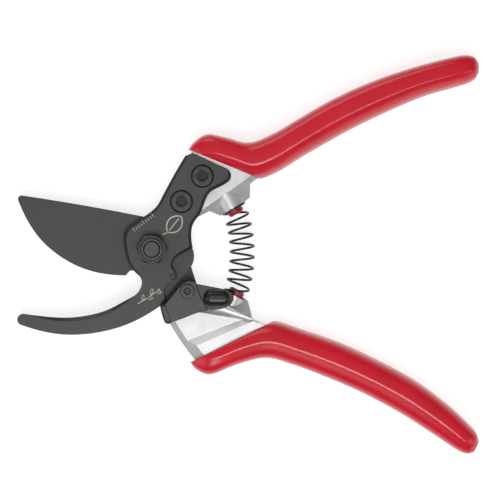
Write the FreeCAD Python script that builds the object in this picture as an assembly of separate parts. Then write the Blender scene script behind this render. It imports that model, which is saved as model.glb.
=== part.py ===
"""Bypass pruning shears, lying flat and fully open, in millimetres.

+Z is the pivot axis. The origin is where that axis meets the outer face of the pivot bolt's head.
The upper handle carries the hooked counter-blade. The lower handle carries the cutting blade and the latch.
"""
import FreeCAD
import Part
import math
import os

from FreeCAD import Vector

# Stack along the pivot, from the bolt head's outer face up
RUN = 0.05            # running clearance between sliding faces
HEAD_T = 3.2
WASHER_T = 1.0
CARRIER_T = 4.0
BLADE_T = 3.45
COUNTER_T = 4.0
Z_CARRIER = HEAD_T + WASHER_T + RUN
Z_BLADE = Z_CARRIER + CARRIER_T
Z_SHEAR = Z_BLADE + BLADE_T + RUN
Z_COUNTER = Z_SHEAR + COUNTER_T

# Pivot
BOLT_R = 4.0
HEAD_R = 7.5
BUSH_R = 5.5
NUT_FLATS = 12.0
NUT_T = 5.4
COLLAR_R = 4.9
COLLAR_T = 1.2

# Handles
GRIP_Z = 10.0         # height of the grips' middle plane
GRIP_HALF = 9.84      # half the thickness of a grip
Z_TANG = (6.0, 14.0)
Z_UPPER = (4.0, 13.95)
Z_LOWER = (4.3, 16.0)
RECESS_Z = 14.35
FIT = 0.15            # clearance of the counter-blade in its seat

# Return spring: one seat on each handle, on the faces of two bosses
SPRING_Z = 7.15
SPRING_R = 5.25       # to the middle of the wire
WIRE_R = 0.52
TURNS = 11
# (turns, height) from either end: a coil in the pocket, half a coil along the seat, then a steep half turn
END_RISE = ((0.0, 0.0), (1.0, 2.35), (1.5, 2.8), (2.0, 6.9))
SPRING_BOW = 12.5     # length of the handles that bow the spring's middle line outwards
UPPER_SEAT = (36.1, 18.4)
UPPER_DIR = -59.2     # degrees, the way the seat faces
LOWER_SEAT = (36.55, -20.6)
LOWER_DIR = 61.7
BOSS_R = 6.8
BOSS_LENGTH = 14.0
POCKET_R = 6.1
POCKET_DEPTH = 2.6
POST_R = 3.6
POST_STAND = 3.0

# Latch
LATCH_PIN = (15.7, -18.5)
PLATE_Z = (16.55, 18.95)
ARM_Z = (14.85, 17.25)
NOSE_Z = (15.95, 18.2)
SLEEVE_R = 2.5
LATCH_SCREW_R = 2.0

# Screws
COUNTER_SCREWS = ((22.3, 32.5), (13.0, 21.2))
CARRIER_SCREWS = ((12.6, -28.2), (18.2, -33.2))
BLADE_SCREWS = ((2.2, -17.6), (11.2, -7.2))


def vec(point, z=0.0):
    return Vector(point[0], point[1], z)


def outline_edges(start, legs, z=0.0):
    """Edges of a flat outline. A leg of one point is straight, of two points an arc, of more a curve."""
    edges = []
    last = vec(start, z)
    for leg in legs:
        points = [last] + [vec(p, z) for p in leg]
        if len(points) == 2:
            edges.append(Part.LineSegment(*points).toShape())
        elif len(points) == 3:
            edges.append(Part.Arc(*points).toShape())
        else:
            curve = Part.BSplineCurve()
            curve.interpolate(points)
            edges.append(curve.toShape())
        last = points[-1]
    return edges


def face_of(start, legs, z=0.0):
    return Part.Face(Part.Wire(outline_edges(start, legs, z)))


def prism(start, legs, z0, z1):
    return face_of(start, legs, z0).extrude(Vector(0, 0, z1 - z0))


def inward(tangent):
    """The unit direction into an outline that runs anticlockwise."""
    return Vector(-tangent.y, tangent.x, 0).normalize()


def inset(start, legs, widths):
    """The same outline moved inwards. widths holds one (start, middle, end) for each leg."""
    edges = outline_edges(start, legs)
    moved = []
    for k, (edge, leg) in enumerate(zip(edges, legs)):
        curve = edge.Curve
        following = edges[(k + 1) % len(edges)]
        points = []
        for i, point in enumerate(leg):
            t = (i + 1) / len(leg)
            a, b, c = widths[k]
            width = a * (1 - t) * (1 - 2 * t) + 4 * b * t * (1 - t) + c * t * (2 * t - 1)
            normal = inward(curve.tangent(curve.parameter(vec(point)))[0])
            if i == len(leg) - 1:
                other = inward(following.tangentAt(following.FirstParameter))
                middle = (normal + other).normalize()
                width /= max(middle.dot(normal), 0.6)
                normal = middle
            points.append((point[0] + width * normal.x, point[1] + width * normal.y))
        moved.append(points)
    return moved[-1][-1], moved


def plate(start, legs, z0, z1, depth, widths, below=None):
    """A plate with its top edge bevelled by depth, and its lower edge too if below gives (depth, widths)."""
    solid = prism(start, legs, z0 + (below[0] if below else 0.0), z1 - depth)
    levels = [(z1 - depth, z1, widths)]
    if below:
        levels.append((z0 + below[0], z0, below[1]))
    for z_full, z_end, width in levels:
        inner_start, inner_legs = inset(start, legs, width)
        full = Part.Wire(outline_edges(start, legs, z_full))
        inner = Part.Wire(outline_edges(inner_start, inner_legs, z_end))
        solid = solid.fuse(Part.makeLoft([full, inner], True, True))
    return solid.removeSplitter()


def cylinder(centre, radius, z0, z1):
    return Part.makeCylinder(radius, z1 - z0, vec(centre, z0))


def hexagon(centre, flats, z0, z1):
    radius = flats / math.sqrt(3)
    corners = []
    for k in range(7):
        angle = math.radians(60 * k)
        corners.append(vec(centre, z0) + Vector(radius * math.cos(angle), radius * math.sin(angle), 0))
    return Part.Face(Part.makePolygon(corners)).extrude(Vector(0, 0, z1 - z0))


def ring(centre, inner, outer, z0, z1):
    return cylinder(centre, outer, z0, z1).cut(cylinder(centre, inner, z0, z1))


def screw_head(centre, radius, z0, z1, socket, depth):
    """A button head with a rounded top edge, a hexagon socket and the cone that leads into it."""
    head = cylinder(centre, radius, z0, z1)
    rim = max(head.Edges, key=lambda e: e.CenterOfMass.z if e.Curve.TypeId == "Part::GeomCircle" else -1e9)
    head = head.makeFillet(min(0.45, (z1 - z0) * 0.4), [rim])
    lead = Part.makeCone(socket * 0.5, socket * 0.66, 0.5, vec(centre, z1 - 0.5))
    return head.cut(hexagon(centre, socket, z1 - depth, z1 + 1)).cut(lead)


def direction(degrees):
    return Vector(math.cos(math.radians(degrees)), math.sin(math.radians(degrees)), 0)


def along_seat(seat, degrees, radius, low, high):
    """A cylinder on a spring seat's axis, from low to high beyond the seat face."""
    axis = direction(degrees)
    return Part.makeCylinder(radius, high - low, vec(seat, SPRING_Z) + axis * low, axis)


# Outlines, all anticlockwise
COUNTER_START = (17.6, 42.7)
COUNTER_LEGS = (
    ((14.6, 41.4),),                                                     # top left corner
    ((8.7, 31.3), (3.2, 20.9)),                                          # left edge
    ((0.2, 17.3), (-3.5, 14.6), (-8.9, 10.8)),                           # shoulder
    ((-11.9, 7.9), (-12.7, 4.4), (-12.2, 0.6), (-10.6, -5.9), (-7.8, -9.9), (-5.5, -12.0)),
    ((-4.6, -14.7), (-5.6, -18.0), (-8.2, -20.7)),                       # throat
    ((-13.5, -23.6), (-20.0, -26.9), (-28.0, -29.2), (-37.0, -30.3), (-47.0, -29.9), (-56.4, -28.7)),
    ((-59.9, -31.0), (-57.9, -33.7)),                                    # hook tip
    ((-50.0, -36.1), (-42.0, -37.6), (-33.0, -37.9), (-24.0, -36.9), (-14.0, -34.4), (-5.0, -30.5),
     (3.2, -25.4)),                                                      # outer edge
    ((5.9, -21.4),),
    ((5.4, -18.8), (6.3, -16.3), (8.7, -14.4), (10.4, -13.2), (10.7, -11.3), (9.4, -9.0), (8.7, -6.9),
     (9.6, -4.7), (12.4, -2.3), (18.0, 0.7)),                            # waved edge of the latch notches
    ((17.3, 6.4), (18.1, 11.2), (21.0, 15.6), (23.4, 21.6), (25.8, 25.6), (29.6, 27.7), (33.0, 29.7)),
    ((34.9, 32.6), (33.5, 35.4)),                                        # top right corner
    ((17.6, 42.7),),
)
DARK = 1.3            # width of the bevel beside the blade
FINE = 0.25           # width of a broken edge
COUNTER_BEVELS = (
    (FINE, FINE, DARK),
    (DARK, DARK, DARK),
    (DARK, DARK, DARK),
    (DARK, DARK, 0.9),
    (0.9, 0.5, 0.4),
    (0.4, 1.8, FINE),
    (FINE, FINE, FINE),
    (FINE, FINE, FINE),
    (FINE, FINE, FINE),
    (FINE, FINE, DARK),
    (DARK, DARK, DARK),
    (DARK, DARK, FINE),
    (FINE, FINE, FINE),
)
CATCH = (9.1, -12.1)  # low bead that the latch nose hooks behind
CATCH_T = 0.5

BLADE_START = (3.0, 13.15)
BLADE_LEGS = (
    ((-28.0, 19.1), (-57.6, 23.9)),                                      # spine
    ((-59.4, 23.4), (-59.6, 21.6)),                                      # tip
    ((-56.0, 13.7), (-50.0, 4.8), (-42.0, -2.4), (-34.0, -7.1), (-26.0, -9.95), (-18.0, -11.3),
     (-11.8, -11.6)),                                                    # cutting edge
    ((-10.8, -10.4),),
    ((-9.1, -9.4), (-7.3, -10.4)),                                       # wire-cutting notch
    ((-6.4, -11.4),),
    ((-4.0, -13.8), (-3.2, -18.0), (-1.8, -22.0), (0.6, -25.3)),
    ((3.3, -24.8),),
    ((17.2, -7.7),),
    ((18.5, -4.0), (18.0, 0.0)),
    ((16.7, 1.6),),
    ((15.1, 7.4), (9.8, 13.6)),
    ((3.0, 13.15),),
)
GRIND = 8.5           # width of the ground bevel on the blade's underside
GRIND_T = 3.1
BLADE_BEVELS = tuple((GRIND * a, GRIND * b, GRIND * c) for a, b, c in (
    (0.02, 0.02, 0.02), (0.02, 0.05, 0.12), (0.12, 1.0, 0.7), (0.7, 0.5, 0.3), (0.3, 0.1, 0.03),
) + ((0.03, 0.03, 0.03),) * 8)

CARRIER_START = (14.2, -2.0)
CARRIER_LEGS = (
    ((6.0, 11.3), (-8.0, 9.9)),
    ((-11.6, 2.0), (-8.8, -6.9)),
    ((-4.6, -11.4), (-2.2, -15.4), (1.6, -23.4)),
    ((8.9, -32.0),),
    ((13.2, -37.8),),
    ((17.6, -40.2), (22.4, -37.6)),
    ((21.8, -24.0),),
    ((19.5, -15.2),),
    ((17.2, -7.9),),
    ((14.2, -2.0),),
)

UPPER_START = (20.4, 14.5)
UPPER_HEAD = (
    ((25.4, 17.0),),
    ((30.2, 15.0),),
    ((41.2, 21.6),),
    ((43.3, 23.0),),
    ((43.5, 29.2),),
    ((46.9, 31.7),),
    ((49.6, 33.6),),
    ((54.0, 37.4), (62.0, 42.2), (80.0, 52.6), (104.0, 65.0), (127.0, 74.2)),
    ((130.0, 77.4), (126.0, 79.8)),
    ((104.0, 73.0), (80.0, 62.4), (60.0, 50.6), (50.0, 45.0), (42.0, 43.8)),
    ((28.0, 47.2), (19.5, 46.2)),
    ((17.5, 44.0),),
    ((17.3, 41.4),),
    ((8.2, 24.8),),
    ((8.0, 18.1),),
    ((12.7, 15.2), (16.2, 11.4)),
    ((20.4, 14.5),),
)

LOWER_START = (19.6, -16.0)
LOWER_HEAD = (
    ((14.4, -16.0),),
    ((12.9, -17.2),),
    ((7.3, -24.4),),
    ((7.4, -29.5),),
    ((7.9, -33.2),),
    ((11.9, -39.6), (19.3, -49.6)),
    ((25.5, -52.0), (38.0, -47.0), (48.0, -44.0), (60.0, -46.6), (80.0, -53.6), (103.0, -64.4), (124.0, -78.2)),
    ((128.6, -78.0), (127.4, -73.6)),
    ((103.0, -55.0), (80.0, -44.6), (62.0, -38.4), (50.0, -35.6)),
    ((50.4, -33.4),),
    ((46.0, -31.6),),
    ((44.4, -30.6),),
    ((43.4, -26.2),),
    ((42.3, -22.8),),
    ((31.8, -17.9),),
    ((19.6, -16.0),),
)
SIDE_BAND = 4.6       # width of the bevelled band along the lower frame's outer side
RECESS_FLOOR = [(0, -46.4), (60, -23.6), (60, 0), (0, 0)]      # the low panel that the latch sweeps over
RECESS_MOUTH = [(0, -51.3), (60, -25.1), (60, 0), (0, 0)]

PLATE_START = (19.4, -14.9)
PLATE_LEGS = (
    ((16.4, -14.0), (13.2, -15.3)),
    ((6.2, -23.8),),
    ((5.75, -24.5), (5.95, -25.2)),
    ((7.8, -30.6),),
    ((8.4, -31.8), (9.7, -31.9)),
    ((15.4, -29.9), (20.6, -27.9), (24.7, -27.0)),
    ((24.4, -26.0),),
    ((21.5, -20.8), (19.4, -14.9)),
)
ARM_START = (19.7, -15.3)
ARM_LEGS = (
    ((20.5, -21.0), (23.4, -26.4)),
    ((25.6, -26.7), (30.6, -26.4), (34.0, -25.0)),
    ((36.1, -21.4), (34.0, -18.4)),
    ((31.2, -17.5),),
    ((19.7, -15.3),),
)
NOSE_START = (9.4, -24.4)
NOSE_LEGS = (
    ((3.5, -24.4),),
    ((4.4, -28.8), (5.5, -32.2)),
    ((6.8, -33.0), (8.6, -32.5)),
    ((9.4, -24.4),),
)
PAD_CENTRE = (28.9, -21.5)
PAD_HALF = (6.2, 3.7)
PAD_T = 3.3

# Grips: stations from the nose to the end: the outer point, the inner point and the share of the half height
UPPER_GRIP = (
    ((15.9, 44.4), (18.6, 38.0), 0.62),
    ((18.6, 47.9), (24.6, 38.4), 0.80),
    ((24.4, 51.3), (30.4, 36.6), 0.93),
    ((33.0, 49.8), (38.0, 34.0), 0.97),
    ((43.0, 47.6), (46.0, 31.2), 0.97),
    ((53.7, 51.6), (55.4, 34.3), 0.98),
    ((64.0, 57.6), (68.6, 42.3), 1.0),
    ((80.0, 66.8), (86.4, 52.4), 1.0),
    ((98.0, 74.9), (103.6, 60.8), 1.0),
    ((116.0, 81.0), (120.6, 68.0), 0.98),
    ((131.0, 85.0), (133.6, 71.8), 0.94),
    ((138.6, 86.4), (139.6, 73.6), 0.86),
    ((143.0, 85.6), (143.4, 75.6), 0.66),
    ((144.9, 83.0), (145.1, 78.4), 0.34),
)
LOWER_GRIP = (
    ((16.6, -50.0), (19.4, -42.0), 0.60),
    ((19.6, -53.6), (25.4, -40.6), 0.80),
    ((26.0, -55.7), (33.0, -38.0), 0.93),
    ((38.0, -51.2), (44.0, -33.6), 0.97),
    ((50.4, -48.4), (54.0, -31.8), 0.97),
    ((62.0, -51.2), (66.0, -35.4), 0.98),
    ((78.0, -57.2), (84.0, -41.7), 1.0),
    ((94.0, -64.2), (101.0, -49.6), 1.0),
    ((110.0, -72.8), (117.4, -58.6), 1.0),
    ((124.6, -82.1), (131.8, -69.4), 0.98),
    ((134.6, -88.8), (140.4, -77.4), 0.94),
    ((139.4, -90.9), (144.0, -81.4), 0.82),
    ((142.6, -90.4), (145.2, -85.0), 0.50),
)
# Half of each section, from the outer to the inner edge, in shares of the width and of the half thickness.
# The upper grip has a flat side that ends in a crease, the lower grip a rounded crest along its middle.
UPPER_PROFILE = ((0.0, 0.0), (0.02, 0.45), (0.08, 0.76), (0.18, 0.91), (0.32, 0.965), (0.48, 0.99), (0.60, 1.0),
                 (0.67, 0.965), (0.80, 0.81), (0.93, 0.50), (1.0, 0.0))
LOWER_PROFILE = ((0.0, 0.0), (0.02, 0.42), (0.07, 0.67), (0.15, 0.83), (0.27, 0.91), (0.38, 0.965), (0.44, 1.0),
                 (0.50, 0.993), (0.62, 0.96), (0.75, 0.90), (0.87, 0.75), (0.95, 0.50), (1.0, 0.0))
UPPER_OPENING = ((17.2, 43.9), (46.9, 31.6))
LOWER_OPENING = ((52.1, -32.7), (17.6, -49.9))


def grip_section(outer, inner, share, profile):
    """A closed section through the profile's points on the front and their mirror images on the back."""
    half = GRIP_HALF * share
    across = vec(inner) - vec(outer)
    points = [vec(outer, GRIP_Z) + across * u + Vector(0, 0, half * h) for u, h in profile]
    points += [vec(outer, GRIP_Z) + across * u - Vector(0, 0, half * h) for u, h in profile[-2:0:-1]]
    curve = Part.BSplineCurve()
    curve.interpolate(points, PeriodicFlag=True)
    return Part.Wire([curve.toShape()])


def grip(stations, profile, opening, frame):
    """The moulded grip: a loft through its stations, cut square at the opening and hollow over the frame."""
    body = Part.makeLoft([grip_section(*station, profile) for station in stations], True, False)
    a = vec(opening[0])
    b = vec(opening[1])
    along = (b - a).normalize()
    out = Vector(along.y, -along.x, 0)
    if out.dot(vec(LATCH_PIN) - a) < 0:
        out = out * -1
    low = a - along * 30
    high = b + along * 6
    corners = [low, high, high + out * 40, low + out * 40, low]
    waste = Part.Face(Part.makePolygon(corners)).extrude(Vector(0, 0, 60))
    waste.translate(Vector(0, 0, -20))
    return body.cut(waste).cut(frame)


def make_counter_blade():
    solid = plate(COUNTER_START, COUNTER_LEGS, Z_SHEAR, Z_COUNTER, 1.2, COUNTER_BEVELS)
    solid = solid.cut(cylinder((0, 0), BOLT_R, Z_SHEAR, Z_COUNTER))
    for centre in COUNTER_SCREWS:
        solid = solid.cut(cylinder(centre, 5.2, Z_COUNTER - 1.9, Z_COUNTER))
        solid = solid.cut(cylinder(centre, 2.5, Z_SHEAR, Z_COUNTER))
    catch = Part.makeCone(1.5, 0.7, CATCH_T, vec(CATCH, Z_COUNTER))
    return Part.makeCompound([solid, catch])


def make_blade():
    """The blade is ground on its underside only, so that its upper face slides flat on the counter-blade."""
    fine = ((0.15, 0.15, 0.15),) * len(BLADE_LEGS)
    solid = plate(BLADE_START, BLADE_LEGS, Z_BLADE, Z_SHEAR - RUN, 0.12, fine, (GRIND_T, BLADE_BEVELS))
    solid = solid.cut(cylinder((0, 0), BUSH_R, Z_BLADE, Z_SHEAR))
    for centre in BLADE_SCREWS:
        solid = solid.cut(cylinder(centre, 2.0, Z_BLADE, Z_BLADE + 2.7))
    return solid


def make_carrier():
    fine = ((0.3, 0.3, 0.3),) * len(CARRIER_LEGS)
    solid = plate(CARRIER_START, CARRIER_LEGS, Z_CARRIER, Z_BLADE, 0.3, fine, (0.3, fine))
    solid = solid.cut(cylinder((0, 0), BUSH_R, Z_CARRIER, Z_BLADE))
    for centre in BLADE_SCREWS + CARRIER_SCREWS:
        solid = solid.cut(cylinder(centre, 2.0, Z_CARRIER, Z_BLADE))
    for centre in BLADE_SCREWS:
        solid = solid.cut(cylinder(centre, 3.4, Z_CARRIER, Z_CARRIER + 1.8))
    return solid


def seat_pocket(seat, degrees):
    """The hollow in a boss: a ring for the end coils and a deeper hole for the post's stem."""
    pocket = along_seat(seat, degrees, POCKET_R, -POCKET_DEPTH, 12)
    return pocket.fuse(along_seat(seat, degrees, 2.5, -POCKET_DEPTH - 4, 0))


def split_line(a, b, z, slope, reach):
    """A wedge that falls away from the line a-b at height z, to the right of the way from a to b."""
    start = vec(a, z)
    end = vec(b, z)
    along = (end - start).normalize()
    out = Vector(along.y, -along.x, 0)
    drop = out * reach - Vector(0, 0, reach * math.tan(math.radians(slope)))
    top = out * reach + Vector(0, 0, 6)
    triangle = Part.makePolygon([start, start + drop, start + top, start + Vector(0, 0, 6), start])
    return Part.Face(triangle).extrude(end - start)


def tang_only(shape, opening, keep_z):
    """Thins a frame to keep_z beyond its grip's opening."""
    a = vec(opening[0])
    b = vec(opening[1])
    along = (b - a).normalize()
    into = Vector(-along.y, along.x, 0)
    if into.dot(Vector(100, 0, 0)) < 0:
        into = into * -1
    low = a - along * 40 + into * 3
    high = b + along * 60 + into * 3
    for z0, z1 in ((-5.0, keep_z[0]), (keep_z[1], 30.0)):
        corners = [low, high, high + into * 140, low + into * 140, low]
        block = Part.Face(Part.makePolygon(corners)).extrude(Vector(0, 0, z1 - z0))
        block.translate(Vector(0, 0, z0))
        shape = shape.cut(block)
    return shape


def make_upper_frame():
    edge = ((0.5, 0.5, 0.5),) * len(UPPER_HEAD)
    solid = plate(UPPER_START, UPPER_HEAD, *Z_UPPER, 0.5, edge, (0.5, edge))
    solid = solid.cut(split_line((20.0, 15.9), (46.0, 34.1), Z_UPPER[1], 34, 14))
    boss = along_seat(UPPER_SEAT, UPPER_DIR, BOSS_R, -BOSS_LENGTH, 0)
    boss = boss.cut(Part.makeBox(60, 60, 5, Vector(0, 0, Z_UPPER[1])))
    solid = solid.fuse(boss)
    pocket_start, pocket_legs = inset(COUNTER_START, COUNTER_LEGS, ((-FIT, -FIT, -FIT),) * len(COUNTER_LEGS))
    solid = solid.cut(prism(pocket_start, pocket_legs, Z_SHEAR, Z_COUNTER + 2))
    solid = solid.cut(seat_pocket(UPPER_SEAT, UPPER_DIR))
    for centre in COUNTER_SCREWS:
        solid = solid.cut(cylinder(centre, 3.4, 0, Z_SHEAR))
    return tang_only(solid, UPPER_OPENING, Z_TANG).removeSplitter()


def make_lower_frame():
    edge = [(0.5, 0.5, 0.5)] * len(LOWER_HEAD)
    top = list(edge)
    top[3] = (0.5, 0.5, SIDE_BAND)
    top[4] = (SIDE_BAND, SIDE_BAND, SIDE_BAND)
    top[5] = (SIDE_BAND, SIDE_BAND, SIDE_BAND)
    top[6] = (SIDE_BAND, 1.0, 0.5)
    solid = plate(LOWER_START, LOWER_HEAD, *Z_LOWER, 3.8, top, (0.5, edge))
    floor = Part.makePolygon([vec(p, RECESS_Z) for p in RECESS_FLOOR + RECESS_FLOOR[:1]])
    mouth = Part.makePolygon([vec(p, Z_LOWER[1]) for p in RECESS_MOUTH + RECESS_MOUTH[:1]])
    solid = solid.cut(Part.makeLoft([floor, mouth], True, True))
    boss = along_seat(LOWER_SEAT, LOWER_DIR, BOSS_R, -BOSS_LENGTH, 0)
    boss = boss.cut(Part.makeBox(80, 80, 5, Vector(0, -80, RECESS_Z)))
    solid = solid.cut(split_line((47.0, -32.6), (30.0, -23.4), RECESS_Z, 24, 14)).fuse(boss)
    solid = solid.fuse(cylinder(LATCH_PIN, 3.95, RECESS_Z - 1, Z_LOWER[1] - 0.1))
    pocket_start, pocket_legs = inset(CARRIER_START, CARRIER_LEGS, ((-0.05, -0.05, -0.05),) * len(CARRIER_LEGS))
    solid = solid.cut(prism(pocket_start, pocket_legs, 0, Z_BLADE))
    solid = solid.cut(seat_pocket(LOWER_SEAT, LOWER_DIR))
    for centre in CARRIER_SCREWS:
        solid = solid.cut(cylinder(centre, 2.0, 0, 13.0))
    solid = solid.cut(cylinder(LATCH_PIN, LATCH_SCREW_R, Z_BLADE, 20))
    low = Vector(46.5, -32.0, RECESS_Z + 0.34)
    high = Vector(20.2, -23.9, RECESS_Z + 6.9)
    solid = solid.cut(Part.makeCone(0.4, 8.2, (high - low).Length, low, high - low))     # scoop beside the rib
    return tang_only(solid, LOWER_OPENING, Z_TANG).removeSplitter()


def make_post(seat, degrees):
    head = along_seat(seat, degrees, POST_R, -POCKET_DEPTH, POST_STAND)
    rim = max(head.Edges, key=lambda e: (e.CenterOfMass - vec(seat, SPRING_Z)).dot(direction(degrees)))
    head = head.makeChamfer(0.7, [rim])
    return head.fuse(along_seat(seat, degrees, 2.5, -POCKET_DEPTH - 4, -POCKET_DEPTH)).removeSplitter()


def end_rise(turn):
    """The height of the wire above its end, within two turns of it."""
    for (low, z_low), (high, z_high) in zip(END_RISE, END_RISE[1:]):
        if turn <= high:
            break
    return z_low + (z_high - z_low) * (turn - low) / (high - low)


def coil_height(turn, length):
    """How far along its line the spring has risen: the same at both ends, with an even pitch between."""
    closed, rise = END_RISE[-1]
    if turn <= closed:
        return end_rise(turn)
    if turn >= TURNS - closed:
        return length - end_rise(TURNS - turn)
    return rise + (length - 2 * rise) * (turn - closed) / (TURNS - 2 * closed)


def make_spring():
    """A round wire wound about a curve that leaves both seats square to them."""
    sunk = POCKET_DEPTH - WIRE_R - RUN
    start = vec(UPPER_SEAT, SPRING_Z) - direction(UPPER_DIR) * sunk
    end = vec(LOWER_SEAT, SPRING_Z) - direction(LOWER_DIR) * sunk
    axis = Part.BezierCurve()
    leave = direction(UPPER_DIR) * SPRING_BOW
    arrive = direction(LOWER_DIR) * SPRING_BOW
    axis.setPoles([start, start + leave, end + arrive, end])
    steps = TURNS * 16
    points = []
    for k in range(steps + 1):
        turn = TURNS * k / steps
        t = coil_height(turn, axis.length()) / axis.length()
        side = Vector(0, 0, 1).cross(axis.tangent(t)[0]).normalize()
        angle = 2 * math.pi * turn
        offset = side * math.cos(angle) + Vector(0, 0, math.sin(angle))
        points.append(axis.value(t) + offset * SPRING_R)
    path = Part.BSplineCurve()
    path.interpolate(points)
    profile = Part.Wire([Part.makeCircle(WIRE_R, points[0], path.tangent(path.FirstParameter)[0])])
    return Part.Wire([path.toShape()]).makePipeShell([profile], True, True)


def make_lever():
    """A stamped lever: a flat plate, an arm set lower beyond the bend, and a nose at the outer corner."""
    fine = (0.3, 0.3, 0.3)
    solid = plate(PLATE_START, PLATE_LEGS, *PLATE_Z, 0.3, (fine,) * len(PLATE_LEGS))
    arm = plate(ARM_START, ARM_LEGS, *ARM_Z, 0.3, (fine,) * len(ARM_LEGS))
    nose = plate(NOSE_START, NOSE_LEGS, *NOSE_Z, 0.9, ((0.9, 0.9, 0.9),) * len(NOSE_LEGS))
    solid = solid.fuse(arm).fuse(nose)
    solid = solid.cut(cylinder(LATCH_PIN, SLEEVE_R + RUN, 0, 30))
    return solid.removeSplitter()


def make_pad():
    """The thumb pad: a long dome with round ends."""
    x, y = PAD_CENTRE
    a, b = PAD_HALF
    straight = a - b
    start = (x - straight, y - b)
    legs = (((x + straight, y - b),), ((x + a, y), (x + straight, y + b)),
            ((x - straight, y + b),), ((x - a, y), start))
    solid = prism(start, legs, ARM_Z[1], ARM_Z[1] + PAD_T)
    rim = [e for e in solid.Edges if e.BoundBox.ZMin > ARM_Z[1] + 0.1]
    return solid.makeFillet(2.9, rim)


def make_bolt():
    body = cylinder((0, 0), HEAD_R, 0, HEAD_T)
    low = min(body.Edges, key=lambda e: e.BoundBox.ZMax)
    body = body.makeFillet(0.8, [low])
    top = Z_COUNTER + NUT_T + COLLAR_T
    shank = cylinder((0, 0), BOLT_R, HEAD_T, top)
    rim = max(shank.Edges, key=lambda e: e.BoundBox.ZMin)
    return body.fuse(shank.makeChamfer(0.8, [rim])).removeSplitter()


def make_nut():
    z0 = Z_COUNTER
    z1 = Z_COUNTER + NUT_T
    body = hexagon((0, 0), NUT_FLATS, z0, z1)
    cone = Part.makeCone(9.0, 6.0, 1.75, Vector(0, 0, z1 - 1.75))
    body = body.common(cone.fuse(cylinder((0, 0), 9.0, z0, z1 - 1.75)))
    collar = cylinder((0, 0), COLLAR_R, z1, z1 + COLLAR_T)
    rim = max(collar.Edges, key=lambda e: e.BoundBox.ZMin)
    body = body.fuse(collar.makeFillet(0.5, [rim]))
    body = body.cut(cylinder((0, 0), BOLT_R, z0, z1))
    return body.cut(cylinder((0, 0), 4.35, z1 - 1.2, z1 + COLLAR_T)).removeSplitter()


def counter_screw(centre):
    head = screw_head(centre, 4.6, Z_COUNTER - 1.9, Z_COUNTER + 0.35, 4.0, 1.6)
    return head.fuse(cylinder(centre, 2.5, 6.4, Z_COUNTER - 1.9)).removeSplitter()


def sleeve_nut(centre):
    head = screw_head((0, 0), 4.6, -1.0, 0.9, 4.0, 1.2).mirror(Vector(0, 0, 0), Vector(0, 0, 1))
    head.translate(vec(centre, Z_UPPER[0] - 1.0))
    body = ring(centre, 2.5, 3.4, Z_UPPER[0], 11.2)
    return head.fuse(body).removeSplitter()


def back_screw(centre, z_head, head_t, head_r, z_end):
    """A screw put in from the back, with its head at the bottom."""
    head = screw_head((0, 0), head_r, 0, head_t, 2.5, 1.0).mirror(Vector(0, 0, 0), Vector(0, 0, 1))
    head.translate(vec(centre, z_head))
    return head.fuse(cylinder(centre, 2.0, z_head, z_end)).removeSplitter()


def make_latch_screw():
    z_head = PLATE_Z[1] + RUN
    head = screw_head(LATCH_PIN, 3.15, z_head, z_head + 1.5, 2.5, 1.1)
    return head.fuse(cylinder(LATCH_PIN, LATCH_SCREW_R, Z_BLADE + 0.4, z_head)).removeSplitter()


def make_parts():
    upper_frame = make_upper_frame()
    lower_frame = make_lower_frame()
    nut_top = Z_COUNTER + NUT_T
    z_washer = Z_LOWER[1] - 0.1
    return {
        "counter_blade": make_counter_blade(),
        "upper_handle_frame": upper_frame,
        "upper_grip": grip(UPPER_GRIP, UPPER_PROFILE, UPPER_OPENING, upper_frame),
        "counter_blade_screws": Part.makeCompound([counter_screw(c) for c in COUNTER_SCREWS]),
        "counter_blade_sleeve_nuts": Part.makeCompound([sleeve_nut(c) for c in COUNTER_SCREWS]),
        "upper_spring_post": make_post(UPPER_SEAT, UPPER_DIR),
        "pivot_bolt": make_bolt(),
        "pivot_washer": ring((0, 0), BOLT_R + RUN, 7.8, HEAD_T, HEAD_T + WASHER_T),
        "pivot_nut": make_nut(),
        "nut_lock_ring": ring((0, 0), BOLT_R, 4.35, nut_top - 1.2, nut_top + COLLAR_T - 0.5),
        "return_spring": make_spring(),
        "blade": make_blade(),
        "blade_carrier": make_carrier(),
        "pivot_bush": ring((0, 0), BOLT_R + RUN, BUSH_R, Z_CARRIER, Z_SHEAR - RUN),
        "lower_handle_frame": lower_frame,
        "lower_grip": grip(LOWER_GRIP, LOWER_PROFILE, LOWER_OPENING, lower_frame),
        "blade_screws": Part.makeCompound(
            [back_screw(c, Z_CARRIER + 1.8, 1.6, 3.2, Z_BLADE + 2.7) for c in BLADE_SCREWS]),
        "carrier_screws": Part.makeCompound(
            [back_screw(c, Z_CARRIER, 1.8, 3.4, 13.0) for c in CARRIER_SCREWS]),
        "lower_spring_post": make_post(LOWER_SEAT, LOWER_DIR),
        "latch_screw": make_latch_screw(),
        "latch_sleeve": ring(LATCH_PIN, LATCH_SCREW_R, SLEEVE_R, z_washer, PLATE_Z[1] + RUN),
        "latch_washer": ring(LATCH_PIN, SLEEVE_R, 3.8, z_washer, PLATE_Z[0] - RUN),
        "latch_lever": make_lever(),
        "latch_thumb_pad": make_pad(),
    }


os.makedirs("parts", exist_ok=True)
for name, shape in make_parts().items():
    shape.exportStep(os.path.join("parts", name + ".step"))
    print(f"{name:26s} solids {len(shape.Solids)} valid {shape.isValid()} volume {shape.Volume:9.1f}")
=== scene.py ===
import math

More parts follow.
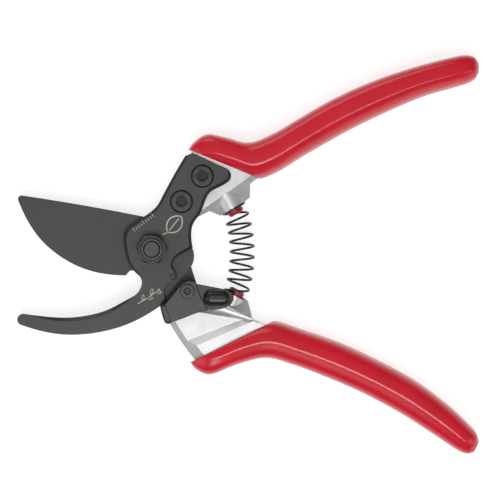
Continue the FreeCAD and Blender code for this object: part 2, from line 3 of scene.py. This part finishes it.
import bmesh
import bpy
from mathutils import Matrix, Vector


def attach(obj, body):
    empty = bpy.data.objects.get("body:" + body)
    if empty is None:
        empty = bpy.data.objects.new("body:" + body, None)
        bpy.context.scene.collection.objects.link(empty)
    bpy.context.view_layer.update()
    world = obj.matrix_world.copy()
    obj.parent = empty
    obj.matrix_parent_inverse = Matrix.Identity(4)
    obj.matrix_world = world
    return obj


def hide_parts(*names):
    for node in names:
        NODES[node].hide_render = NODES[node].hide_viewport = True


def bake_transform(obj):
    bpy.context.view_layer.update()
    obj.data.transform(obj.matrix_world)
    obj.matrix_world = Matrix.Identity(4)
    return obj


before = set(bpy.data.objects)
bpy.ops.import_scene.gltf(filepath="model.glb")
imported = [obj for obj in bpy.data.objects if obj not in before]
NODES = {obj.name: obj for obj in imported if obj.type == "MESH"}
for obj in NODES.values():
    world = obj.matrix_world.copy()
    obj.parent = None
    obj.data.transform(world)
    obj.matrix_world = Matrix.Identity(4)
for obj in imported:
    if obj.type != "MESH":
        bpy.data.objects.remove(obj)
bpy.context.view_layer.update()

MM = 0.001


# ---------------------------------------------------------------- node helpers
# Sockets of Blender's Mix node when it mixes colours
MIX_FACTOR = 0
MIX_A = 6
MIX_B = 7
MIX_RESULT = 2


class Nodes:
    """Builds a material's nodes. Each method adds the nodes of one step and returns their output."""

    def __init__(self, name):
        self.material = bpy.data.materials.new(name)
        self.material.use_nodes = True
        self.tree = self.material.node_tree
        self.shader = self.tree.nodes["Principled BSDF"]
        self.place = self.make("ShaderNodeTexCoord").outputs["Object"]

    def make(self, kind, settings=None, **inputs):
        node = self.tree.nodes.new(kind)
        for key, value in (settings or {}).items():
            setattr(node, key, value)
        for key, value in inputs.items():
            node.inputs[key.replace("_", " ")].default_value = value
        return node

    def link(self, output, socket):
        self.tree.links.new(output, socket)

    def noise(self, scale, detail=3.0, roughness=0.5, stretch=None):
        node = self.make("ShaderNodeTexNoise", Scale=scale, Detail=detail, Roughness=roughness)
        place = self.place
        if stretch:
            mapping = self.make("ShaderNodeMapping")
            mapping.inputs["Scale"].default_value = stretch
            self.link(place, mapping.inputs["Vector"])
            place = mapping.outputs["Vector"]
        self.link(place, node.inputs["Vector"])
        return node.outputs["Fac"]

    def ramp(self, value, stops):
        node = self.make("ShaderNodeValToRGB")
        elements = node.color_ramp.elements
        while len(elements) < len(stops):
            elements.new(0.5)
        for element, (position, colour) in zip(elements, stops):
            element.position = position
            element.color = (*colour, 1.0)
        self.link(value, node.inputs["Fac"])
        return node.outputs["Color"]

    def span(self, value, low, high, source=(0.3, 0.7)):
        """Maps value from the source range to low..high. The default source is where most noise lies."""
        node = self.make("ShaderNodeMapRange")
        for key, number in zip(("From Min", "From Max", "To Min", "To Max"), (*source, low, high)):
            node.inputs[key].default_value = number
        self.link(value, node.inputs["Value"])
        return node.outputs["Result"]

    def mix(self, factor, a, b):
        """Mixes colours a and b. Each is a plain colour or another node's output."""
        node = self.make("ShaderNodeMix", {"data_type": "RGBA"})
        self.link(factor, node.inputs[MIX_FACTOR])
        for index, value in ((MIX_A, a), (MIX_B, b)):
            if isinstance(value, tuple):
                node.inputs[index].default_value = (*value, 1.0)
            else:
                self.link(value, node.inputs[index])
        return node.outputs[MIX_RESULT]

    def bump(self, height, strength, distance, below=None):
        node = self.make("ShaderNodeBump", Strength=strength, Distance=distance)
        self.link(height, node.inputs["Height"])
        if below:
            self.link(below, node.inputs["Normal"])
        return node.outputs["Normal"]

    def upward(self, low, high):
        """0 on steep faces and 1 on faces across the pivot axis. low and high bound the tilt between."""
        normal = self.make("ShaderNodeNewGeometry").outputs["Normal"]
        split = self.make("ShaderNodeSeparateXYZ")
        self.link(normal, split.inputs["Vector"])
        size = self.make("ShaderNodeMath", {"operation": "ABSOLUTE"})
        self.link(split.outputs["Z"], size.inputs[0])
        return self.span(size.outputs["Value"], 0.0, 1.0, (low, high))

    def above(self, height, spread):
        """1 where the part is within spread of a height above the rest plane, else 0."""
        split = self.make("ShaderNodeSeparateXYZ")
        self.link(self.place, split.inputs["Vector"])
        near = self.make("ShaderNodeMath", {"operation": "COMPARE"})
        near.inputs[1].default_value = height
        near.inputs[2].default_value = spread
        self.link(split.outputs["Z"], near.inputs[0])
        return near.outputs["Value"]

    def finish(self, colour, roughness, normal=None, **sockets):
        """Joins the outputs to the shader. Any other socket takes one plain number."""
        self.link(colour, self.shader.inputs["Base Color"])
        if normal is None:
            self.shader.inputs["Roughness"].default_value = roughness
        else:
            self.link(roughness, self.shader.inputs["Roughness"])
            self.link(normal, self.shader.inputs["Normal"])
        for name, value in sockets.items():
            self.shader.inputs[name.replace("_", " ")].default_value = value
        return self.material


# ---------------------------------------------------------------- materials
def shaded(colour, factor):
    return tuple(c * factor for c in colour)


def coated_steel(name, face, bevel_shade, rough, painted_shade_at=None):
    """Dark low-friction coating with faint streaks, with shade painted darker onto its steep bevels and onto
    the floors at the given height.
    """
    n = Nodes(name)
    grain = n.noise(2600.0, 4.0, 0.6)
    streaks = n.noise(160.0, 5.0, 0.62, (1.0, 0.22, 1.0))
    cloud = n.noise(45.0, 3.0)
    flat = n.ramp(streaks, ((0.25, shaded(face, 0.88)), (0.8, shaded(face, 1.12))))
    flat = n.mix(n.span(cloud, 0.0, 0.35), flat, shaded(face, 1.2))
    # Painted shade: faces tilted away from facing up take the darker bevel colour, as if less light fell on
    # them.
    colour = n.mix(n.upward(0.74, 0.85), bevel_shade, flat)
    # Painted shade on the floor at that height, deep in the counterbores under the screw heads.
    if painted_shade_at:
        colour = n.mix(n.above(painted_shade_at, 0.3 * MM), colour, shaded(bevel_shade, 0.3))
    roughness = n.span(streaks, rough - 0.05, rough + 0.08)
    normal = n.bump(grain, 0.25, 0.02 * MM, n.bump(streaks, 0.06, 0.05 * MM))
    return n.finish(colour, roughness, normal, Metallic=0.12, Specular_IOR_Level=0.3)


def black_oxide(name, shade, painted_shade_at=()):
    """Black oxide on fasteners, a little worn, with shade painted near black onto the socket floors at the
    listed heights.
    """
    n = Nodes(name)
    grain = n.noise(1900.0, 4.0, 0.6)
    wear = n.noise(420.0, 5.0, 0.65)
    colour = n.ramp(wear, ((0.3, (shade * 0.8,) * 3), (0.62, (shade * 1.3,) * 3), (0.8, (shade * 2.6,) * 3)))
    # Painted shade: each listed socket floor is coloured near black.
    for floor_height in painted_shade_at:
        colour = n.mix(n.above(floor_height, 0.1 * MM), colour, (0.002, 0.002, 0.002))
    return n.finish(colour, n.span(wear, 0.24, 0.42), n.bump(grain, 0.3, 0.02 * MM), Metallic=0.15)


def vinyl(name, colour, rough, coat):
    """Glossy soft vinyl: deep colour, a faint mottle and a slight orange peel."""
    n = Nodes(name)
    peel = n.noise(240.0, 2.0, 0.45)
    fine = n.noise(1500.0, 3.0, 0.5)
    cloud = n.noise(60.0, 3.0, 0.5)
    tint = n.ramp(cloud, ((0.3, shaded(colour, 0.93)), (0.7, shaded(colour, 1.06))))
    normal = n.bump(fine, 0.05, 0.02 * MM, n.bump(peel, 0.10, 0.06 * MM))
    return n.finish(tint, n.span(fine, rough - 0.03, rough + 0.05), normal, Coat_Weight=coat,
                    Coat_Roughness=0.2, Specular_IOR_Level=0.4)


def blasted_aluminium(name):
    """Forged and blasted aluminium: satin, with a fine grain and soft cloudy patches."""
    n = Nodes(name)
    grain = n.noise(2400.0, 4.0, 0.62)
    cloud = n.noise(110.0, 4.0, 0.55)
    speck = n.noise(1400.0, 3.0, 0.6)
    colour = n.ramp(cloud, ((0.3, (0.45, 0.45, 0.455)), (0.7, (0.62, 0.62, 0.622))))
    colour = n.mix(n.span(speck, 0.0, 0.25), colour, (0.36, 0.36, 0.365))
    roughness = n.span(cloud, 0.30, 0.42)
    return n.finish(colour, roughness, n.bump(grain, 0.35, 0.04 * MM), Metallic=0.5)


def moulded(name, colour, rough, specular=0.5):
    """A moulded or painted surface: even, with a fine texture."""
    n = Nodes(name)
    fine = n.noise(1300.0, 3.0, 0.5)
    cloud = n.noise(90.0, 3.0, 0.5)
    tint = n.ramp(cloud, ((0.3, shaded(colour, 0.85)), (0.7, shaded(colour, 1.15))))
    return n.finish(tint, n.span(fine, rough - 0.04, rough + 0.06), n.bump(fine, 0.12, 0.03 * MM),
                    Specular_IOR_Level=specular)


def turned_metal(name, colour, rough):
    """Bare metal with fine turning marks."""
    n = Nodes(name)
    rings = n.noise(900.0, 3.0, 0.5, (1.0, 1.0, 0.1))
    tint = n.ramp(rings, ((0.3, shaded(colour, 0.85)), (0.7, colour)))
    roughness = n.span(rings, rough - 0.05, rough + 0.1)
    return n.finish(tint, roughness, n.bump(rings, 0.2, 0.02 * MM), Metallic=0.95)


# Heights of recessed floors onto which shade is painted
COUNTERBORE_FLOOR = 13.85 * MM             # under the heads of the counter-blade's two screws
SOCKET_FLOORS = (14.5 * MM, 19.4 * MM)     # socket floors of the counter-blade screws and the latch screw
# In each coating the second colour is painted shade for its steep bevels
BLADE = coated_steel("blade_coating", (0.048, 0.048, 0.049), (0.03, 0.03, 0.03), 0.42)
COUNTER = coated_steel("counter_blade_coating", (0.048, 0.048, 0.048), (0.022, 0.022, 0.022), 0.40,
                       COUNTERBORE_FLOOR)
LEVER = coated_steel("latch_coating", (0.052, 0.052, 0.052), (0.03, 0.03, 0.03), 0.38)
CARRIER = coated_steel("carrier_coating", (0.05, 0.05, 0.05), (0.02, 0.02, 0.02), 0.45)
OXIDE = black_oxide("black_oxide", 0.010)
SCREW = black_oxide("screw_oxide", 0.028, SOCKET_FLOORS)
WORN = black_oxide("worn_bolt_end", 0.032)
GRIP_RED = vinyl("grip_vinyl", (0.56, 0.010, 0.026), 0.22, 0.15)
POST_RED = moulded("post_red", (0.30, 0.008, 0.018), 0.3)
ALUMINIUM = blasted_aluminium("blasted_aluminium")
BLACK_PLASTIC = moulded("pad_black", (0.012, 0.012, 0.013), 0.26, 0.3)
NYLON = moulded("lock_ring_nylon", (0.16, 0.16, 0.165), 0.5)
SPRING_BLACK = moulded("spring_black", (0.008, 0.008, 0.008), 0.32)
BRONZE = turned_metal("bush_bronze", (0.62, 0.42, 0.2), 0.35)
ZINC = turned_metal("zinc_steel", (0.55, 0.55, 0.56), 0.35)
ETCH = moulded("etched_marks", (0.42, 0.40, 0.33), 0.6)

FINISHES = {
    "blade": BLADE, "counter_blade": COUNTER, "blade_carrier": CARRIER, "latch_lever": LEVER,
    "upper_handle_frame": ALUMINIUM, "lower_handle_frame": ALUMINIUM,
    "pivot_bolt": WORN, "pivot_nut": OXIDE, "counter_blade_screws": SCREW, "counter_blade_sleeve_nuts": OXIDE,
    "blade_screws": OXIDE, "carrier_screws": OXIDE, "latch_screw": SCREW, "pivot_washer": ZINC,
    "latch_sleeve": ZINC, "pivot_bush": BRONZE, "nut_lock_ring": NYLON, "latch_washer": NYLON,
    "upper_spring_post": POST_RED, "lower_spring_post": POST_RED, "latch_thumb_pad": BLACK_PLASTIC,
    "upper_grip": GRIP_RED, "lower_grip": GRIP_RED, "return_spring": SPRING_BLACK,
}
for node_name, finish in FINISHES.items():
    for material_slot in NODES[node_name].material_slots[:1]:
        material_slot.link = "OBJECT"
        material_slot.material = finish


def mesh_object(name, vertices, faces, material, smooth=True):
    mesh = bpy.data.meshes.new(name)
    mesh.from_pydata([tuple(v) for v in vertices], [], faces)
    mesh.materials.append(material)
    for polygon in mesh.polygons:
        polygon.use_smooth = smooth
    mesh.update()
    piece = bpy.data.objects.new(name, mesh)
    bpy.context.scene.collection.objects.link(piece)
    return piece


def tube_faces(rows, around):
    """Faces of a closed tube of rows rings with around points each, capped at both ends."""
    faces = []
    for i in range(rows - 1):
        for j in range(around):
            k = (j + 1) % around
            faces.append((i * around + j, i * around + k, (i + 1) * around + k, (i + 1) * around + j))
    faces.append(tuple(range(around - 1, -1, -1)))
    faces.append(tuple(range((rows - 1) * around, rows * around)))
    return faces


def smooth_values(values, t):
    """A cardinal spline through evenly spaced values, at t from 0 to 1."""
    place = t * (len(values) - 1)
    i = min(int(place), len(values) - 2)
    f = place - i
    p1 = values[i]
    p2 = values[i + 1]
    p0 = values[i - 1] if i > 0 else p1 * 2 - p2
    p3 = values[i + 2] if i + 2 < len(values) else p2 * 2 - p1
    return 0.5 * (p1 * 2 + (p2 - p0) * f + (p0 * 2 - p1 * 5 + p2 * 4 - p3) * f * f
                  + (p1 * 3 - p0 - p2 * 3 + p3) * f * f * f)


# ---------------------------------------------------------------- grips
GRIP_Z = 10.0 * MM
GRIP_HALF = 9.83 * MM
# Stations from the nose to the end: the outer point, the inner point (mm) and the share of the half thickness
UPPER_GRIP = (
    ((15.9, 44.4), (18.6, 38.0), 0.62),
    ((18.6, 47.9), (24.6, 38.4), 0.80),
    ((24.4, 51.3), (30.4, 36.6), 0.93),
    ((33.0, 49.8), (38.0, 34.0), 0.97),
    ((43.0, 47.6), (46.0, 31.2), 0.97),
    ((53.7, 51.6), (55.4, 34.3), 0.98),
    ((64.0, 57.6), (68.6, 42.3), 1.0),
    ((80.0, 66.8), (86.4, 52.4), 1.0),
    ((98.0, 74.9), (103.6, 60.8), 1.0),
    ((116.0, 81.0), (120.6, 68.0), 0.98),
    ((131.0, 85.0), (133.6, 71.8), 0.94),
    ((138.6, 86.4), (139.6, 73.6), 0.86),
    ((143.0, 85.6), (143.4, 75.6), 0.66),
    ((144.9, 83.0), (145.1, 78.4), 0.34),
)
LOWER_GRIP = (
    ((16.6, -50.0), (19.4, -42.0), 0.60),
    ((19.6, -53.6), (25.4, -40.6), 0.80),
    ((26.0, -55.7), (33.0, -38.0), 0.93),
    ((38.0, -51.2), (44.0, -33.6), 0.97),
    ((50.4, -48.4), (54.0, -31.8), 0.97),
    ((62.0, -51.2), (66.0, -35.4), 0.98),
    ((78.0, -57.2), (84.0, -41.7), 1.0),
    ((94.0, -64.2), (101.0, -49.6), 1.0),
    ((110.0, -72.8), (117.4, -58.6), 1.0),
    ((124.6, -82.1), (131.8, -69.4), 0.98),
    ((134.6, -88.8), (140.4, -77.4), 0.94),
    ((139.4, -90.9), (144.0, -81.4), 0.82),
    ((142.6, -90.4), (145.2, -85.0), 0.50),
)
UPPER_OPENING = ((17.2, 43.9), (46.9, 31.6))
LOWER_OPENING = ((17.6, -49.9), (52.1, -32.7))
# Half of each section, from the outer to the inner edge, in shares of the width and of the half thickness
UPPER_PROFILE = (
    (0.0, 0.0), (0.02, 0.45), (0.08, 0.76), (0.18, 0.91), (0.32, 0.965), (0.48, 0.99), (0.60, 1.0),
    (0.67, 0.965), (0.80, 0.81), (0.93, 0.50), (1.0, 0.0),
)
LOWER_PROFILE = (
    (0.0, 0.0), (0.02, 0.42), (0.07, 0.67), (0.15, 0.83), (0.27, 0.91), (0.38, 0.965), (0.44, 1.0),
    (0.50, 0.993), (0.62, 0.96), (0.75, 0.90), (0.87, 0.75), (0.95, 0.50), (1.0, 0.0),
)
SECTIONS = 150
AROUND = 88
PROFILE_PASSES = 4       # rounds of smoothing on the profile's corners
LIP = 0.45 * MM          # how far back the grip's mouth is rounded
LIP_PULL = 0.7           # share of the lip by which its rim draws in


def make_grip(name, stations, profile):
    """A grip swept through its stations, the same above and below its middle plane."""
    outer = [Vector((*s[0], 0.0)) * MM for s in stations]
    inner = [Vector((*s[1], 0.0)) * MM for s in stations]
    share = [Vector((s[2], 0.0)) for s in stations]
    knots = [Vector(k) for k in profile]
    half = [smooth_values(knots, i / (AROUND // 2)) for i in range(AROUND // 2 + 1)]
    for _ in range(PROFILE_PASSES):
        half[1:-1] = [(a + b * 2 + c) / 4 for a, b, c in zip(half, half[1:], half[2:])]
    loop = [(p.x, p.y) for p in half] + [(p.x, -p.y) for p in half[-2:0:-1]]
    vertices = []
    for i in range(SECTIONS):
        t = i / (SECTIONS - 1)
        a = smooth_values(outer, t)
        b = smooth_values(inner, t)
        height = smooth_values(share, t).x * GRIP_HALF
        for u, h in loop:
            vertices.append(a + (b - a) * u + Vector((0.0, 0.0, GRIP_Z + height * h)))
    return mesh_object(name, vertices, tube_faces(SECTIONS, len(loop)), GRIP_RED)


def cut_opening(piece, opening, inside):
    """Cuts the grip off along its opening, rounds the lip a little and closes the cut face."""
    a = Vector((*opening[0], 0.0)) * MM
    b = Vector((*opening[1], 0.0)) * MM
    along = (b - a).normalized()
    normal = Vector((along.y, -along.x, 0.0))
    if normal.dot(inside - a) > 0:
        normal = -normal
    mesh = bmesh.new()
    mesh.from_mesh(piece.data)
    geometry = mesh.verts[:] + mesh.edges[:] + mesh.faces[:]
    bmesh.ops.bisect_plane(mesh, geom=geometry, plane_co=a - normal * LIP, plane_no=normal)
    geometry = mesh.verts[:] + mesh.edges[:] + mesh.faces[:]
    cut = bmesh.ops.bisect_plane(mesh, geom=geometry, plane_co=a, plane_no=normal, clear_outer=True)
    rim = [e for e in cut["geom_cut"] if isinstance(e, bmesh.types.BMEdge)]
    rim_points = {v for e in rim for v in e.verts}
    centre = sum((v.co for v in rim_points), Vector()) / len(rim_points)
    for v in rim_points:
        pull = centre - v.co
        v.co += pull * (LIP * LIP_PULL / pull.length)
    bmesh.ops.contextual_create(mesh, geom=rim)
    bmesh.ops.recalc_face_normals(mesh, faces=mesh.faces[:])
    mesh.to_mesh(piece.data)
    mesh.free()
    for polygon in piece.data.polygons:
        polygon.use_smooth = len(polygon.vertices) <= 8      # the closed cut and the end cap stay flat


upper_grip = make_grip("upper_grip_vinyl", UPPER_GRIP, UPPER_PROFILE)
cut_opening(upper_grip, UPPER_OPENING, Vector((0.08, 0.06, 0.0)))
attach(upper_grip, "upper_handle")
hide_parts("upper_grip")

lower_grip = make_grip("lower_grip_vinyl", LOWER_GRIP, LOWER_PROFILE)
cut_opening(lower_grip, LOWER_OPENING, Vector((0.08, -0.06, 0.0)))
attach(lower_grip, "lower_handle")
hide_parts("lower_grip")


# ---------------------------------------------------------------- return spring
SPRING_Z = 7.15 * MM      # height of the spring's axis above the rest plane
SPRING_R = 5.25 * MM      # from the axis to the middle of the wire
WIRE_R = 0.52 * MM
TURNS = 11
# (turns, height in mm) from either end: a coil in the pocket, half a coil along the seat, a steep half turn
END_RISE = ((0.0, 0.0), (1.0, 2.35), (1.5, 2.8), (2.0, 6.9))
BOW = 12.5 * MM           # length of the curve's handles, along which the axis leaves each seat
SUNK = 2.03 * MM          # how far the wire's end lies below the seat
# Each seat's middle and the direction in which it faces
UPPER_SEAT = (Vector((36.1, 18.4, 0.0)) * MM, math.radians(-59.2))
LOWER_SEAT = (Vector((36.55, -20.6, 0.0)) * MM, math.radians(61.7))
PER_TURN = 40
WIRE_AROUND = 14
AXIS_SAMPLES = 200
AXIS_STEP = 0.01          # share of the axis over which its direction is taken
EASING = (-0.1, -0.05, 0.0, 0.05, 0.1)      # turns over which the height is averaged, so that no kink shows
WIRE_REFERENCE = Vector((0.3, 0.2, 0.93))   # a direction that the wire never quite runs in


def bezier(points, t):
    """The point at t on the Bezier curve with these control points."""
    while len(points) > 1:
        points = [a.lerp(b, t) for a, b in zip(points, points[1:])]
    return points[0]


def end_rise(turn):
    """The height of the wire above its end, within two turns of it."""
    for (low, z_low), (high, z_high) in zip(END_RISE, END_RISE[1:]):
        if turn <= high:
            break
    return (z_low + (z_high - z_low) * (turn - low) / (high - low)) * MM


def coil_height(turn, length):
    """How far along its line the spring has risen: the same at both ends, with an even pitch between."""
    closed = END_RISE[-1][0]
    if turn <= closed:
        return end_rise(max(turn, 0.0))
    if turn >= TURNS - closed:
        return length - end_rise(max(TURNS - turn, 0.0))
    rise = end_rise(closed)
    return rise + (length - 2 * rise) * (turn - closed) / (TURNS - 2 * closed)


def spring_line():
    """The middle line of the wire: a helix about a curve that leaves both seats square to them."""
    facing = [Vector((math.cos(angle), math.sin(angle), 0.0)) for _, angle in (UPPER_SEAT, LOWER_SEAT)]
    start = UPPER_SEAT[0] - facing[0] * SUNK
    end = LOWER_SEAT[0] - facing[1] * SUNK
    control = [start, start + facing[0] * BOW, end + facing[1] * BOW, end]
    samples = [bezier(control, i / AXIS_SAMPLES) for i in range(AXIS_SAMPLES + 1)]
    length = sum((b - a).length for a, b in zip(samples, samples[1:]))
    line = []
    for k in range(TURNS * PER_TURN + 1):
        turn = k / PER_TURN
        t = sum(coil_height(turn + shift, length) for shift in EASING) / (len(EASING) * length)
        after = bezier(control, min(t + AXIS_STEP, 1.0))
        before = bezier(control, max(t - AXIS_STEP, 0.0))
        ahead = (after - before).normalized()
        side = Vector((-ahead.y, ahead.x, 0.0))
        angle = 2 * math.pi * turn
        line.append(bezier(control, t) + side * (SPRING_R * math.cos(angle))
                    + Vector((0.0, 0.0, SPRING_Z + SPRING_R * math.sin(angle))))
    return line


def wire_mesh(name, line, radius, material):
    """A round wire along the line."""
    vertices = []
    for i, point in enumerate(line):
        ahead = (line[min(i + 1, len(line) - 1)] - line[max(i - 1, 0)]).normalized()
        side = ahead.cross(WIRE_REFERENCE).normalized()
        up = side.cross(ahead)
        for j in range(WIRE_AROUND):
            angle = 2 * math.pi * j / WIRE_AROUND
            vertices.append(point + (side * math.cos(angle) + up * math.sin(angle)) * radius)
    return mesh_object(name, vertices, tube_faces(len(line), WIRE_AROUND), material)


spring = wire_mesh("return_spring_wire", spring_line(), WIRE_R, SPRING_BLACK)
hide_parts("return_spring")
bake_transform(spring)


# ---------------------------------------------------------------- etched marks
ETCH_Z = 15.77 * MM      # just above the face of the counter-blade


def ribbon(name, points, width, closed=False):
    """A flat etched line of even width through the points, in millimetres, on the counter-blade's face."""
    count = len(points)
    vertices = []
    for i, point in enumerate(points):
        before = points[(i - 1) % count] if closed or i else point
        after = points[(i + 1) % count] if closed or i < count - 1 else point
        along = (Vector(after) - Vector(before)).normalized()
        side = Vector((-along.y, along.x)) * (width / 2)
        for sign in (1, -1):
            place = Vector(point) + side * sign
            vertices.append((place.x * MM, place.y * MM, ETCH_Z))
    faces = []
    for i in range(count if closed else count - 1):
        k = (i + 1) % count
        faces.append((2 * i + 1, 2 * k + 1, 2 * k, 2 * i))
    piece = mesh_object(name, vertices, faces, ETCH, smooth=False)
    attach(piece, "upper_handle")


def leaf(centre, length, width, turn, steps=24):
    """The outline of a pointed leaf, turned about its centre."""
    points = []
    for k in range(steps):
        angle = 2 * math.pi * k / steps
        x = 0.5 * length * math.cos(angle)
        y = 0.5 * width * math.sin(angle) * abs(math.sin(angle)) ** 0.5
        points.append((centre[0] + x * math.cos(turn) - y * math.sin(turn),
                       centre[1] + x * math.sin(turn) + y * math.cos(turn)))
    return points


TILT = math.radians(37)       # of the scale's row and of the twig
TICKS = 9
TICK_STEP = Vector((1.05, 0.79))
LONG_TICK = 1.9
SHORT_TICK = 1.2
LEAF_SPREAD = 0.7             # angle between the twig and its leaves, in radians
LEAF_REACH = 1.5              # from the twig to a leaf's middle

ribbon("etched_leaf", leaf((9.9, 11.1), 9.0, 6.4, math.radians(50)), 0.55, closed=True)
ribbon("etched_leaf_rib", [(7.6, 8.4), (9.6, 10.9), (11.9, 13.6)], 0.45)
ribbon("etched_leaf_stalk", [(4.6, 6.6), (6.0, 7.0), (7.2, 7.9)], 0.5)
for k in range(TICKS):
    low = Vector((-7.6, 8.1)) + TICK_STEP * k
    high = low + Vector((-math.sin(TILT), math.cos(TILT))) * (LONG_TICK if k % 4 == 0 else SHORT_TICK)
    ribbon(f"etched_scale_{k}", [tuple(low), tuple(high)], 0.28)
stem = [(-6.4, -24.2), (-3.4, -22.4), (-0.4, -20.4), (3.4, -17.6)]
ribbon("etched_twig", stem, 0.4)
for k, (along, side) in enumerate(((0.2, 1), (0.4, -1), (0.6, 1), (0.8, -1))):
    root = Vector(stem[0]).lerp(Vector(stem[-1]), along)
    turn = TILT + side * LEAF_SPREAD
    centre = root + Vector((math.cos(turn), math.sin(turn))) * LEAF_REACH
    ribbon(f"etched_twig_leaf_{k}", leaf(tuple(centre), 2.6, 1.1, turn, 14), 0.28, closed=True)


# ---------------------------------------------------------------- stage, lights and camera
def stage_material():
    """A pale floor that glows a little, like a light table, so that shadows stay faint."""
    n = Nodes("pale_floor")
    cloud = n.noise(3.0, 2.0)
    tint = n.ramp(cloud, ((0.3, (0.37, 0.37, 0.37)), (0.7, (0.39, 0.39, 0.39))))
    n.finish(tint, 0.9, Emission_Strength=0.75)
    n.shader.inputs["Emission Color"].default_value = (1.0, 1.0, 1.0, 1.0)
    return n.material


FLOOR_HALF = 3.0
FLOOR_Z = -0.1 * MM
corners = [(x * FLOOR_HALF, y * FLOOR_HALF, FLOOR_Z) for x, y in ((-1, -1), (1, -1), (1, 1), (-1, 1))]
floor = mesh_object("floor", corners, [(0, 1, 2, 3)], stage_material(), smooth=False)

CENTRE = Vector((43.4 * MM, -0.3 * MM, 10.0 * MM))      # what the camera and the lights look at
FIELD = 222.5 * MM                                      # width of the view at the camera's distance
DISTANCE = 1.5


def area_light(name, azimuth, elevation, distance, size, power):
    """A square soft light that looks at the tool from a compass direction: 0 is +X and 90 is +Y."""
    a = math.radians(azimuth)
    e = math.radians(elevation)
    back = Vector((math.cos(a) * math.cos(e), math.sin(a) * math.cos(e), math.sin(e)))
    data = bpy.data.lights.new(name, "AREA")
    data.size = size
    data.energy = power
    lamp = bpy.data.objects.new(name, data)
    lamp.location = CENTRE + back * distance
    lamp.rotation_euler = (-back).to_track_quat("-Z", "Y").to_euler()
    bpy.context.scene.collection.objects.link(lamp)


area_light("key_light", -90.0, 71.0, 1.2, 0.55, 8.0)
area_light("left_light", 200.0, 35.0, 1.3, 0.8, 3.0)
area_light("right_light", -20.0, 35.0, 1.3, 0.8, 3.0)
area_light("back_light", 112.0, 35.0, 1.3, 0.8, 4.2)

world = bpy.data.worlds.new("studio")
world.use_nodes = True
bpy.context.scene.world = world
tree = world.node_tree
background = tree.nodes["Background"]
place = tree.nodes.new("ShaderNodeTexCoord")
split = tree.nodes.new("ShaderNodeSeparateXYZ")
ramp = tree.nodes.new("ShaderNodeValToRGB")
SKY = ((0.02, 1.0), (0.30, 0.16), (0.80, 0.14), (0.96, 0.55))     # (sine of the elevation, brightness)
while len(ramp.color_ramp.elements) < len(SKY):
    ramp.color_ramp.elements.new(0.5)
for element, (position, level) in zip(ramp.color_ramp.elements, SKY):
    element.position = position
    element.color = (level, level, level, 1.0)
tree.links.new(place.outputs["Generated"], split.inputs["Vector"])
tree.links.new(split.outputs["Z"], ramp.inputs["Fac"])
tree.links.new(ramp.outputs["Color"], background.inputs["Color"])
background.inputs["Strength"].default_value = 0.65

camera_data = bpy.data.cameras.new("camera")
camera_data.lens = camera_data.sensor_width * DISTANCE / FIELD
camera = bpy.data.objects.new("camera", camera_data)
camera.location = CENTRE + Vector((0.0, 0.0, DISTANCE))
bpy.context.scene.collection.objects.link(camera)
bpy.context.scene.camera = camera
bpy.context.scene.view_settings.view_transform = "Standard"
